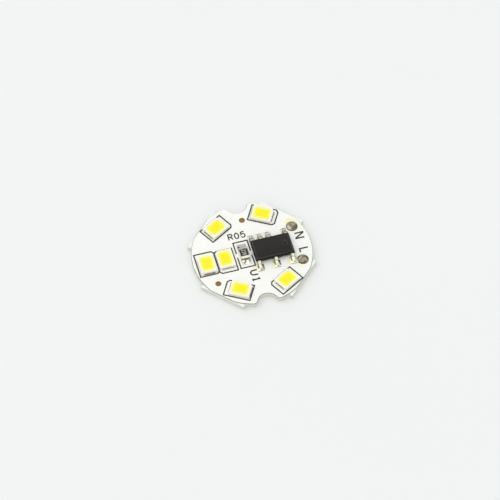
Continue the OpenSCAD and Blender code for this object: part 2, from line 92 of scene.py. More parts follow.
# Share of a land along which its solder rises, and its lowest height there as a share of the full climb
CLIMB_RUN, CLIMB_LOW = 0.3, 0.7
# Rounding of the resistor as a share of other small edges
RESISTOR_ROUNDING = 0.7
# Half section of a tinned pad, as shares of its radius and height
DOME_SIDE = (
    (0, 0.86), (0.22, 0.85), (0.45, 0.8), (0.66, 0.7), (0.83, 0.53), (0.95, 0.3), (1, 0.1), (0.97, 0)
)

# Marks on a surface: a node, then a place from its middle, an inner and an outer reach, and a strength
FLUX_MARKS = (
    ("neutral_pad_solder", 0.0, 0.7, 0.5, 1.2, 0.7),
    ("neutral_pad_solder", 0.5, 0.0, 0.6, 1.4, 0.25),
    ("line_pad_solder", -0.5, -0.4, 0.6, 1.5, 0.25),
    ("line_pad_solder", 0.0, 0.0, 0.7, 1.2, 0.15),
    *((f"chip_lead_{k}", -0.3, -0.3, 0.35, 1.0, 0.45) for k in NEAR_LEADS),
)
# Brown places on the tinned pads: flux, and painted shade on the sides of the domes
PAD_FLUX_AND_SHADE = (
    ("neutral_pad_solder", 0.62, -0.25, 0.1, 0.5, 0.65),
    ("neutral_pad_solder", 0.1, 0.78, 0.1, 0.5, 0.65),
    ("neutral_pad_solder", 0.35, -0.62, 0.1, 0.5, 0.65),
    ("line_pad_solder", -0.55, -0.5, 0.1, 0.5, 0.65),
    ("line_pad_solder", 0.1, -0.75, 0.1, 0.5, 0.65),
    ("line_pad_solder", 0.75, 0.0, 0.1, 0.5, 0.65),
)
FAR_JOINT_STAINS = (("chip_lead_4", 0.0, 0.3, 0.3, 0.7, 0.55),)
# Strength of the dark stripe of painted shade right of each near lead, and of the olive one, flux and painted
# shade, left of it
NEAR_STRIPES = ((5, 0.7, 0.95), (6, 1.0, 0.8), (7, 0.35, 0.9))

# Board marks: name, letters, place, a letter's width and height in millimetres, turn, weight of strokes
BOARD_MARKS = (
    ("neutral_letter", "N", 7.6, 1.23, 1.15, 1.45, -90, 1.1),
    ("line_letter", "L", 7.6, -1.45, 0.85, 1.5, -90, 1.1),
    ("chip_letter", "U", -0.64, -3.43, 1.0, 1.25, -90, 1.1),
    ("chip_number", "1", -0.62, -4.65, 0.62, 1.22, -90, 1.1),
    ("resistor_mark", "R05", -1.4, 3.58, 0.78, 1.15, 0, 0.85),
)
# Gap between two letters, in millimetres
BOARD_GAP = 0.17
# The resistor's value: width, height, stroke, gap and thickness of its digits, in millimetres
VALUE_SIZES = (0.24, 0.66, 0.09, 0.1, 0.01)
# Steps in each arc of a letter
ARC_STEPS = 10

# Half the table's side, and the width and place of each lamp, in metres
TABLE_HALF = 2
SOFT_LAMP = (1.2, (-0.3, 0.3, 0.85))
FRONT_LAMP = (1.0, (0.1, -0.7, 0.75))
# Daylight by height, and by how far to the right: the ends of a range, and the level at each
SKY_RISE = (0.0, 0.9, 0.8, 1.1)
SKY_SIDE = (0.1, 0.8, 1.0, 0.7)
# Width of the lens's sensor in millimetres
SENSOR = 36
# Side of the picture, and how far the board stands right of and below its centre, in pixels
PICTURE_SIDE = 500
PICTURE_RIGHT, PICTURE_DOWN = 2.1, 3.1


def linear(code):
    """A colour written as sRGB hex, as linear RGBA."""
    channels = [int(code[k:k + 2], 16) / 255 for k in (0, 2, 4)]
    return [c / 12.92 if c <= 0.04045 else ((c + 0.055) / 1.055) ** 2.4 for c in channels] + [1.0]


# Settings


def colour(name, description, code):
    """A colour setting with its default written as sRGB hex."""
    return FloatVectorProperty(
        name=name, description=description, subtype="COLOR", size=4, min=0, max=1, default=linear(code)
    )


def length(name, description, mm):
    """A length setting with its default written in millimetres."""
    return FloatProperty(
        name=name, description=description, subtype="DISTANCE", unit="LENGTH", precision=5, default=mm * MM
    )


def number(name, description, default, subtype="NONE"):
    """A setting that is no length."""
    return FloatProperty(name=name, description=description, subtype=subtype, default=default)


class BoardSettings(PropertyGroup):
    """The plate, its layers and its torn edges"""
    plate: colour("Plate", "Aluminium of the plate", "ECEBE3")
    mask: colour("Mask", "White mask on the lit face", "FBFBF7")
    flux: colour("Flux", "Dried flux round the hand-soldered pads", "F2EDA6")
    ink: colour("Ink", "Printed frames and letters", "35332A")
    copper: colour("Copper", "Bare copper dots", "9C7A50")
    web_half: length("Web distance", "Distance of the snapped edges from the middle of the board", 8.86)
    web_length: length("Web length", "Length of each snapped edge between its nubs", 7.2)
    tear: length("Tear", "Depth of the torn surface of a snapped edge", 0.045)


class LedSettings(PropertyGroup):
    """The LED housings and fillings"""
    housing: colour("Housing", "Moulded LED housings", "FAF8F3")
    phosphor: colour("Phosphor", "Middle of the LED fillings", "FFF806")
    warm: colour("Warm middle", "Phosphor right above the die", "FFEE06")
    pale: colour("Pale edge", "Thin phosphor on the slope of the cup", "FBFA9E")
    glow: colour("Glow", "White housing that the phosphor tints round the cup", "FBFAAE")
    sag: length("Sag", "How far the filling sags in the middle of the cup", 0.03)


class ChipSettings(PropertyGroup):
    """The driver chip, and the rounding of small edges"""
    mould: colour("Mould", "Moulded body of the driver chip", "161210")
    tin: colour("Tin", "Tin plate of the far leads", "D9D5C9")
    rounding: length("Edge rounding", "Rounding of small moulded and bent edges", 0.035)
    mould_rounding: length("Mould rounding", "Rounding of the chip's edges", 0.09)
    dimple: length("Dimple", "Width of the dimple beside the first lead", 0.9)
    dimple_inset: length("Dimple from end", "Distance of the dimple's middle from the end of the chip", 1.1)
    dimple_depth: length("Dimple depth", "Depth of the dimple", 0.04)


class SolderSettings(PropertyGroup):
    """The tinned wire pads and the joints of the chip's leads"""
    bright: colour("Bright solder", "Smooth parts of the tinned pads", "BDB7A6")
    dull: colour("Dull solder", "Grainy parts of the tinned pads", "7A705C")
    lump: length("Lump", "Unevenness of the tinned wire pads", 0.09)
    burnt: colour("Burnt flux", "Brown flux on the solder", "665840")
    far_width: length("Far width", "Width of the solder under the four far leads", 0.84)
    near_width: length("Near width", "Width of the solder under the three near leads", 1.14)
    land_length: length("Land length", "Length of the solder under a chip lead", 1.06)
    climb: length("Climb", "How high the solder is drawn up along a chip lead", 0.19)
    land_out: length("Land past tip", "How far the solder reaches past the tip of a lead", 0.22)


class PrintSettings(PropertyGroup):
    """The printed letters and the resistor's value"""
    ink_rise: length("Ink rise", "Thickness of the printed letters", 0.03)
    stroke: length("Stroke", "Width of the strokes of the printed letters", 0.2)
    mark: colour("Resistor mark", "Printed value on the resistor", "DCD8CA")


class StageSettings(PropertyGroup):
    """The table, the light and the camera"""
    floor: colour("Floor", "Table under the board", "F0F2F1")
    daylight: number("Surrounding light", "Strength of the even light from all round", 1.005)
    lamp: number("Lamp", "Power of the large soft lamp", 1.0, "POWER")
    fill: number("Fill", "Power of the lamp in front", 0.6, "POWER")
    azimuth: number("Azimuth", "Camera's turn round the board", math.radians(-15.5), "ANGLE")
    elevation: number("Elevation", "Camera's height above the horizon", math.radians(55.8), "ANGLE")
    distance: length("Distance", "Camera's distance from the board", 1500)
    field: length("Field", "Width that the picture shows at the board", 73.9)


# Nodes


def add_node(tree, kind, links=None, **settings):
    """Add one shader node, set it, and give its inputs values or other nodes' outputs."""
    made = tree.nodes.new("ShaderNode" + kind)
    for name, value in settings.items():
        setattr(made, name, value)
    wire(tree, made, links or {})
    return made


def wire(tree, target, links):
    """Give a node's inputs values or other nodes' outputs."""
    for socket, value in links.items():
        if isinstance(value, bpy.types.NodeSocket):
            tree.links.new(value, target.inputs[socket])
        else:
            target.inputs[socket].default_value = value


def start_material(name):
    """A new material with its shader and its Object coordinates."""
    material = bpy.data.materials.new(name)
    material.use_nodes = True
    tree = material.node_tree
    place = add_node(tree, "TexCoord").outputs["Object"]
    return material, tree, tree.nodes["Principled BSDF"], place


def spots_per_metre(mm):
    """The scale of a pattern whose spots are this many millimetres wide."""
    return 1 / (mm * MM)


def speckle(tree, place, mm, detail=2.0):
    """Smooth noise with spots this many millimetres wide."""
    return add_node(
        tree, "TexNoise", {"Vector": place, "Scale": spots_per_metre(mm), "Detail": detail}
    ).outputs[0]


def grains(tree, place, mm):
    """A pattern of cells this many millimetres wide, darkest in their middles."""
    return add_node(tree, "TexVoronoi", {"Vector": place, "Scale": spots_per_metre(mm)}).outputs[0]


def ramp(tree, value, low, high, at_low=0.0, at_high=1.0, curve="LINEAR"):
    """A value carried over from one range to another and held at its ends."""
    links = {0: value, 1: low, 2: high, 3: at_low, 4: at_high}
    return add_node(tree, "MapRange", links, interpolation_type=curve).outputs[0]


def swing(tree, noisy, least, most):
    """Noise carried over to the range between two values."""
    return ramp(tree, noisy, NOISE_LOW, NOISE_HIGH, least, most)


def maths(tree, operation, *values):
    """The result of one sum."""
    return add_node(tree, "Math", dict(enumerate(values)), operation=operation).outputs[0]


def vectors(tree, operation, *values):
    """The vector that comes of one sum with vectors."""
    return add_node(tree, "VectorMath", dict(enumerate(values)), operation=operation).outputs[0]


def mix(tree, share, first, second, blend="MIX"):
    """Two colours mixed by a share."""
    return add_node(
        tree, "Mix", {0: share, 6: first, 7: second}, data_type="RGBA", blend_type=blend
    ).outputs[2]


def mix_values(tree, share, first, second):
    """Two values mixed by a share."""
    return add_node(tree, "Mix", {0: share, 2: first, 3: second}, data_type="FLOAT").outputs[0]


def relief(tree, height, strength, mm):
    """Bumps at most this many millimetres deep."""
    return add_node(tree, "Bump", {"Height": height, "Strength": strength, "Distance": mm * MM}).outputs[0]


def axes(tree, vector):
    """The three parts of a vector."""
    return add_node(tree, "SeparateXYZ", {"Vector": vector}).outputs


def upward(tree):
    """How far a face looks up, from minus one to one."""
    return axes(tree, add_node(tree, "NewGeometry").outputs["Normal"])[2]


def near_places(tree, place, marks, ragged=0.35):
    """A share that is highest at set places of the plan and fades to nought round them, with a ragged edge.

    Each mark is a place, an inner and an outer reach, all in millimetres, and a strength. A stripe adds how
    far it runs to each side along X and Y."""
    level = add_node(tree, "Mapping", {"Vector": place, "Scale": (1, 1, 0)}).outputs[0]
    wander = swing(tree, speckle(tree, place, mm=0.5, detail=3.0), -ragged * MM, ragged * MM)
    share = None
    for x, y, inner, outer, strength, *run in marks:
        off = vectors(tree, "SUBTRACT", level, (x * MM, y * MM, 0))
        if run:
            side = vectors(tree, "ABSOLUTE", off)
            past = vectors(tree, "SUBTRACT", side, (run[0] * MM, run[1] * MM, 0))
            off = vectors(tree, "MAXIMUM", past, (0, 0, 0))
        far = add_node(tree, "VectorMath", {0: off}, operation="LENGTH").outputs["Value"]
        spread = maths(tree, "ADD", far, wander)
        fade = ramp(tree, spread, inner * MM, outer * MM, strength, 0.0, "SMOOTHSTEP")
        share = fade if share is None else maths(tree, "MAXIMUM", share, fade)
    return share


# Pieces


def dress(material, *nodes):
    """Give CAD nodes a finish."""
    for name in nodes:
        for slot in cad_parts[name].material_slots:
            slot.material = material


def soften(width, *nodes):
    """Round the sharp edges of CAD nodes.

    Their flat triangles are joined first, because short edges would narrow the rounding."""
    for name in nodes:
        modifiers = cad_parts[name].modifiers
        modifiers.new("Join", "WELD").merge_threshold = JOINED
        flat = modifiers.new("Flat faces", "DECIMATE")
        flat.decimate_type = "DISSOLVE"
        flat.angle_limit = math.radians(1)
        bevel = modifiers.new("Rounded edges", "BEVEL")
        bevel.width = width
        bevel.segments = 2
        bevel.limit_method = "ANGLE"
        bevel.angle_limit = math.radians(40)
        bevel.use_clamp_overlap = True
        modifiers.new("Close", "WELD").merge_threshold = CLOSED


def finish_piece(bm, name, material, slot, *nodes, crease=None):
    """Turn a bmesh in millimetres into a piece of the board, which may stand for CAD nodes."""
    bmesh.ops.transform(bm, matrix=Matrix.Scale(MM, 4), verts=bm.verts)
    mesh = bpy.data.meshes.new(name)
    bm.to_mesh(mesh)
    bm.free()
    mesh.materials.append(material)
    mesh.shade_smooth()
    if crease is not None:
        mesh.set_sharp_from_angle(angle=math.radians(crease))
    piece = bpy.data.objects.new(name, mesh)
    bpy.context.scene.collection.objects.link(piece)
    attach(piece, "root")
    if nodes:
        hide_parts(*nodes)
    return piece


def middle(node):
    """The middle of a CAD node's box, in millimetres."""
    low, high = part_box(node)
    return (low + high) / 2 / MM


def marks_at(*marks):
    """Marks for near_places, from marks that give a CAD node and a place from its middle."""
    spots = [(middle(node), x, y, rest) for node, x, y, *rest in marks]
    return [(spot.x + x, spot.y + y, *rest) for spot, x, y, rest in spots]


def turned(degrees, axis="Z"):
    """A turn about an axis."""
    return Matrix.Rotation(math.radians(degrees), 4, axis)


def made_verts(result):
    """The vertices that a bmesh operator made."""
    return [made for made in result["geom"] if isinstance(made, bmesh.types.BMVert)]


def ripple(point, waves, seed):
    """Smooth noise about nought, the sum of waves of set strengths and lengths."""
    total = 0
    for k, (strength, mm) in enumerate(waves, seed):
        total += strength * noise.noise(point / mm + Vector([k * step for step in SEED_STEPS]))
    return total


# Finishes


def aluminium(settings):
    """Rolled aluminium: pale grey with a fine grain along X, torn grains on snapped edges, and a painted
    highlight that whitens the faces looking up near the score grooves.
    """
    material, tree, shader, place = start_material("rolled_aluminium")
    drawn = add_node(tree, "Mapping", {"Vector": place, "Scale": (0.05, 1, 1)}).outputs[0]
    lines = speckle(tree, drawn, mm=0.12, detail=4.0)
    cloud = speckle(tree, place, mm=2.5)
    shade = maths(tree, "MULTIPLY", swing(tree, lines, 0.86, 1.0), swing(tree, cloud, 0.92, 1.0))
    rolled = mix(tree, 1.0, settings.plate, shade, "MULTIPLY")
    x, y, _ = axes(tree, place)
    reach = maths(tree, "ADD", maths(tree, "ABSOLUTE", x), maths(tree, "ABSOLUTE", y))
    edge = math.sqrt(2) * settings.web_half
    torn = ramp(tree, reach, edge - 0.1 * MM, edge - 0.03 * MM)
    groove = ramp(tree, reach, edge - 0.6 * MM, edge - 0.35 * MM)
    # Painted highlight: faces that look up near the score grooves are painted near white.
    groove_highlight = maths(tree, "MULTIPLY", ramp(tree, upward(tree), 0.1, 0.4, 0.0, 0.7), groove)
    surface = mix_values(tree, torn, lines, grains(tree, place, mm=0.09))
    wire(tree, shader, {
        "Base Color": mix(tree, groove_highlight, rolled, linear("FDFDFC")),
        "Metallic": 0.6,
        "Roughness": swing(tree, lines, 0.34, 0.5),
        "Normal": relief(tree, surface, ramp(tree, torn, 0.0, 1.0, 0.15, 0.9), mm=0.03),
    })
    return material


def filled_resin():
    """Insulating resin full of ceramic powder: a dull olive-grey seam with a faint mottle."""
    material, tree, shader, place = start_material("filled_resin")
    tone = mix(tree, speckle(tree, place, mm=0.15, detail=3.0), linear("8A876E"), linear("A6A38C"))
    wire(tree, shader, {"Base Color": tone, "Roughness": 0.65})
    return material


def copper_foil(settings):
    """Bare copper foil under a thin preservative: brown, with darker stains and a soft metal gloss."""
    material, tree, shader, place = start_material("copper_foil")
    stain = speckle(tree, place, mm=0.3, detail=4.0)
    wire(tree, shader, {
        "Base Color": mix(tree, ramp(tree, stain, 0.35, 0.65), settings.copper, linear("85623A")),
        "Metallic": 1.0,
        "Roughness": ramp(tree, stain, 0.0, 1.0, 0.3, 0.55),
        "Normal": relief(tree, stain, strength=0.2, mm=0.01),
    })
    return material


def white_mask(settings, tints):
    """White mask ink: an even white with a slight gloss and a faint ripple, yellow where flux dried on it."""
    material, tree, shader, place = start_material("white_mask_ink")
    plain = mix(tree, speckle(tree, place, mm=3.0), settings.mask, linear("F5F5F0"))
    wire(tree, shader, {
        "Base Color": mix(tree, near_places(tree, place, tints), plain, settings.flux),
        "Roughness": 0.42,
        "Normal": relief(tree, speckle(tree, place, mm=0.25), strength=0.12, mm=0.01),
    })
    return material


def legend_ink(settings):
    """Screen-printed ink: dark olive grey, thinner in places, with a dull grainy face."""
    material, tree, shader, place = start_material("legend_ink")
    thin = speckle(tree, place, mm=0.18, detail=3.0)
    wire(tree, shader, {
        "Base Color": mix(tree, ramp(tree, thin, 0.4, 0.75), settings.ink, linear("57554A")),
        "Roughness": 0.6,
        "Specular IOR Level": 0.25,
        "Normal": relief(tree, thin, strength=0.3, mm=0.01),
    })
    return material


def white_nylon(settings, glows):
    """Moulded white nylon: a warm bright white with a satin gloss, with yellow light from the phosphor
    painted round the cup.
    """
    material, tree, shader, place = start_material("white_nylon")
    flow = speckle(tree, place, mm=0.6, detail=3.0)
    plain = mix(tree, flow, settings.housing, linear("F4F1E9"))
    wire(tree, shader, {
        # Painted light: yellow from the phosphor round each cup.
        "Base Color": mix(tree, near_places(tree, place, glows, ragged=0.05), plain, settings.glow),
        "Roughness": 0.4,
        "Normal": relief(tree, flow, strength=0.1, mm=0.01),
    })
    return material


def phosphor_resin(settings, half_l, half_w):
    """Clear silicone full of phosphor powder: deep yellow in the middle, paler at its thin edge.

    It reads the filling's own UV map. The powder is drawn coarser than it is, so that it shows."""
    material, tree, shader, place = start_material("phosphor_silicone")
    sheet = axes(tree, add_node(tree, "TexCoord").outputs["UV"])
    ends = []
    for axis, half in ((0, half_l), (1, half_w)):
        out = maths(tree, "ABSOLUTE", maths(tree, "SUBTRACT", sheet[axis], 0.5))
        ends.append(ramp(tree, out, 0.0, 0.5, half, 0.0))
    edge = maths(tree, "SMOOTH_MIN", *ends, 0.1)
    # Distances from the cup's edge are in millimetres
    inside = maths(tree, "ADD", edge, swing(tree, speckle(tree, place, mm=0.5), -0.08, 0.08))
    thick = ramp(tree, inside, -0.12, 0.4, curve="SMOOTHSTEP")
    core = ramp(tree, inside, 0.3, 0.55, 0.0, 0.6, "SMOOTHSTEP")
    body = mix(tree, core, mix(tree, thick, settings.pale, settings.phosphor), settings.warm)
    powder = speckle(tree, place, mm=0.06)
    wire(tree, shader, {
        "Base Color": mix(tree, 1.0, body, swing(tree, powder, 0.93, 1.0), "MULTIPLY"),
        "Roughness": 0.38,
        "Normal": relief(tree, powder, strength=0.15, mm=0.01),
    })
    return material


def epoxy_mould(settings):
    """Black moulding epoxy: near black and dull, with the fine pits of an eroded mould, rounded edges painted
    paler as a highlight, and a top painted darker towards its near edge as a reflection.
    """
    material, tree, shader, place = start_material("epoxy_mould")
    pits = speckle(tree, place, mm=0.07, detail=3.0)
    cloud = speckle(tree, place, mm=0.9, detail=3.0)
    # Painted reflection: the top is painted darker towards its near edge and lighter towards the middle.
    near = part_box("chip_body")[0].y
    along = maths(tree, "ADD", axes(tree, place)[1], swing(tree, cloud, -0.5 * MM, 0.5 * MM))
    share = ramp(tree, along, near + 0.6 * MM, near + 2.2 * MM)
    tone = mix(tree, share, linear("060403"), settings.mould)
    # Only the rounded edges look up by about this much
    rounded = maths(tree, "COMPARE", upward(tree), 0.76, 0.18)
    # Painted highlight: the rounded edges are painted paler, in clouds.
    painted_edge_highlight = maths(tree, "MULTIPLY", rounded, ramp(tree, cloud, 0.35, 0.55, 0.5, 1.0))
    wire(tree, shader, {
        "Base Color": mix(tree, painted_edge_highlight, tone, linear("47423E")),
        "Roughness": swing(tree, pits, 0.42, 0.62),
        "Specular IOR Level": 0.35,
        "Normal": relief(tree, pits, strength=0.5, mm=0.02),
    })
    return material


def tin_plate(name, clean, stained, roughness, top=None, smudges=()):
    """Matt tin plate: pale warm grey with darker stains from soldering.

    A top colour darkens the faces that look up, in dashes, as painted shade, and smudges darken set places."""
    material, tree, shader, place = start_material(name)
    stain = speckle(tree, place, mm=0.22, detail=4.0)
    tone = mix(tree, ramp(tree, stain, 0.42, 0.68), clean, stained)
    if top is not None:
        # Painted shade: faces that look up take the top colour in dashes.
        painted_shade_lids = ramp(tree, upward(tree), 0.6, 0.9)
        dashes = ramp(tree, stain, 0.5, 0.62, 1.0, 0.35)
        tone = mix(tree, maths(tree, "MULTIPLY", painted_shade_lids, dashes), tone, top)
    if smudges:
        tone = mix(tree, near_places(tree, place, smudges, ragged=0.06), tone, linear("3A3428"))
    wire(tree, shader, {
        "Base Color": tone,
        "Metallic": 1.0,
        "Roughness": swing(tree, stain, roughness, roughness + 0.2),
        "Normal": relief(tree, stain, strength=0.25, mm=0.02),
    })
    return material


def solder_metal(name, smooth, grainy, stains, ragged=0.12):
    """Reflowed solder: bright where it froze smooth, dull where it froze grainy, and darker under burnt flux.

    Each stain is a colour and the places that have it."""
    material, tree, shader, place = start_material(name)
    frozen = mix_values(tree, 0.15, speckle(tree, place, mm=0.6, detail=3.0), grains(tree, place, mm=0.12))
    share = ramp(tree, frozen, 0.38, 0.62)
    tone = mix(tree, share, smooth, grainy)
    for burnt, marks in stains:
        tone = mix(tree, near_places(tree, place, marks, ragged), tone, burnt)
    wire(tree, shader, {
        "Base Color": tone,
        "Metallic": 1.0,
        "Roughness": ramp(tree, share, 0.0, 1.0, 0.22, 0.5),
        "Normal": relief(tree, frozen, strength=0.45, mm=0.05),
    })
    return material


def fired(name, base, mottled, roughness):
    """Fired ceramic, glaze or paint: an even hard surface with a faint mottle."""
    material, tree, shader, place = start_material(name)
    mottle = speckle(tree, place, mm=0.2, detail=3.0)
    wire(tree, shader, {
        "Base Color": mix(tree, mottle, base, mottled),
        "Roughness": roughness,
        "Normal": relief(tree, mottle, strength=0.1, mm=0.01),
    })
    return material


def table_top(settings):
    """Pale matt table top: an even grey-white with a barely visible cloud."""
    material, tree, shader, place = start_material("matt_table_top")
    tone = mix(tree, speckle(tree, place, mm=60), settings.floor, linear("EEF0EF"))
    wire(tree, shader, {"Base Color": tone, "Roughness": 0.8, "Specular IOR Level": 0.1})
    return material


# Operators


class LEDBOARD_OT_board(Operator):
    """Finish the plate, its layers and its printed frames, and tear the snapped edges"""
    bl_idname = "ledboard.board"
    bl_label = "Board"

    def execute(self, context):
        settings = context.scene.led_board
        metal = aluminium(settings)
        dress(metal, "base_plate")
        dress(filled_resin(), "insulation_layer")
        dress(copper_foil(settings), "copper_dots")
        dress(tin_plate("tinned_copper", linear("FAF8F2"), linear("E6E1D2"), roughness=0.35), "copper_tracks")
        dress(legend_ink(settings), "legend_frames")
        dress(white_mask(settings, marks_at(*FLUX_MARKS)), "solder_mask")
        for turn in EDGE_TURNS:
            self.snapped_edge(settings, turn, metal)
        return {"FINISHED"}

    def snapped_edge(self, settings, turn, metal):
        """The torn face of one snapped edge, between its two score grooves."""
        tall = TORN_HIGH - TORN_LOW
        bm = bmesh.new()
        bmesh.ops.create_grid(bm, x_segments=150, y_segments=7, size=0.5)
        bmesh.ops.scale(bm, vec=(settings.web_length / MM, tall, 1), verts=bm.verts)
        for vert in bm.verts:
            rise = 1 - (2 * vert.co.y / tall) ** 2
            vert.co.z = settings.tear / MM * rise * (0.5 + ripple(vert.co, TORN_WAVES, turn))
        back = made_verts(bmesh.ops.extrude_face_region(bm, geom=bm.faces[:]))
        bmesh.ops.translate(bm, vec=(0, 0, -TORN_BACK), verts=back)
        bmesh.ops.recalc_face_normals(bm, faces=bm.faces)
        place = Matrix.Translation((settings.web_half / MM, 0, (TORN_LOW + TORN_HIGH) / 2))
        upright = turned(90) @ turned(90, "X")
        bmesh.ops.transform(bm, matrix=turned(turn) @ place @ upright, verts=bm.verts)
        finish_piece(bm, f"snapped_edge_{turn}", metal, "plate_metal", crease=50)


class LEDBOARD_OT_leds(Operator):
    """Finish the LED housings and terminals and pour their fillings"""
    bl_idname = "ledboard.leds"
    bl_label = "LEDs"

    def execute(self, context):
        settings = context.scene.led_package
        housings = [f"led_{k}_housing" for k in LEDS]
        dress(white_nylon(settings, self.glows()), *housings)
        soften(context.scene.driver_chip.rounding, *housings)
        # The terminals' upward faces are painted dark in dashes: painted shade of the gap under each
        # housing's end.
        ends = tin_plate(
            "terminal_painted_shade", linear("F1EEE4"), linear("CFC9B8"), roughness=0.4, top=linear("6A6356")
        )
        dress(ends, *[f"led_{k}_{end}" for k in LEDS for end in ("anode", "cathode")])
        die = fired("sapphire_die", linear("8FA4C8"), linear("7C92BA"), roughness=0.15)
        dress(die, *[f"led_{k}_die" for k in LEDS])
        size = self.cup_size()
        resin = phosphor_resin(settings, size.x / 2, size.y / 2)
        for k in LEDS:
            self.filling(settings, k, size, resin)
        return {"FINISHED"}

    def glows(self):
        """Where yellow light from the phosphor is painted on the housings: three places along each cup."""
        marks = []
        for k, turn in zip(LEDS, LED_TURNS):
            x, y = math.cos(math.radians(turn)), math.sin(math.radians(turn))
            marks += [(f"led_{k}_housing", s * x, s * y, *GLOW_REACH, 1.0) for s in GLOW_PLACES]
        return marks_at(*marks)

    def cup_size(self):
        """Length, width and depth of a filling. LED 1 stands along Y."""
        low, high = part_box("led_1_phosphor")
        size = (high - low) / MM
        return Vector((size.y, size.x, size.z))

    def filling(self, settings, k, size, resin):
        """One filling, with rounded corners and a face that sags a little in the middle."""
        bm = bmesh.new()
        bm.loops.layers.uv.new("UVMap")
        bmesh.ops.create_grid(bm, x_segments=30, y_segments=24, size=0.5, calc_uvs=True)
        for vert in bm.verts:
            x, y = vert.co.x * 2, vert.co.y * 2
            vert.co.z = -settings.sag / MM * (1 - max(abs(x), abs(y)) ** 2)
        bmesh.ops.scale(bm, vec=(size.x, size.y, 1), verts=bm.verts)
        for vert in bm.verts:
            over_x = abs(vert.co.x) - (size.x / 2 - FILL_CORNER)
            over_y = abs(vert.co.y) - (size.y / 2 - FILL_CORNER)
            if over_x > 0 and over_y > 0:
                pull = max(over_x, over_y) / math.hypot(over_x, over_y)
                vert.co.x -= math.copysign(over_x * (1 - pull), vert.co.x)
                vert.co.y -= math.copysign(over_y * (1 - pull), vert.co.y)
        foot = made_verts(bmesh.ops.extrude_face_region(bm, geom=bm.faces[:]))
        bmesh.ops.scale(bm, vec=(FILL_DRAFT, FILL_DRAFT, 1), verts=foot)
        bmesh.ops.translate(bm, vec=(0, 0, -FILL_DEPTH), verts=foot)
        bmesh.ops.recalc_face_normals(bm, faces=bm.faces)
        node = f"led_{k}_phosphor"
        spot = middle(node)
        spot.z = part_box(node)[1].z / MM
        place = Matrix.Translation(spot) @ turned(LED_TURNS[k - 1])
        bmesh.ops.transform(bm, matrix=place, verts=bm.verts)
        finish_piece(bm, f"led_{k}_filling", resin, "phosphor", node, crease=40)


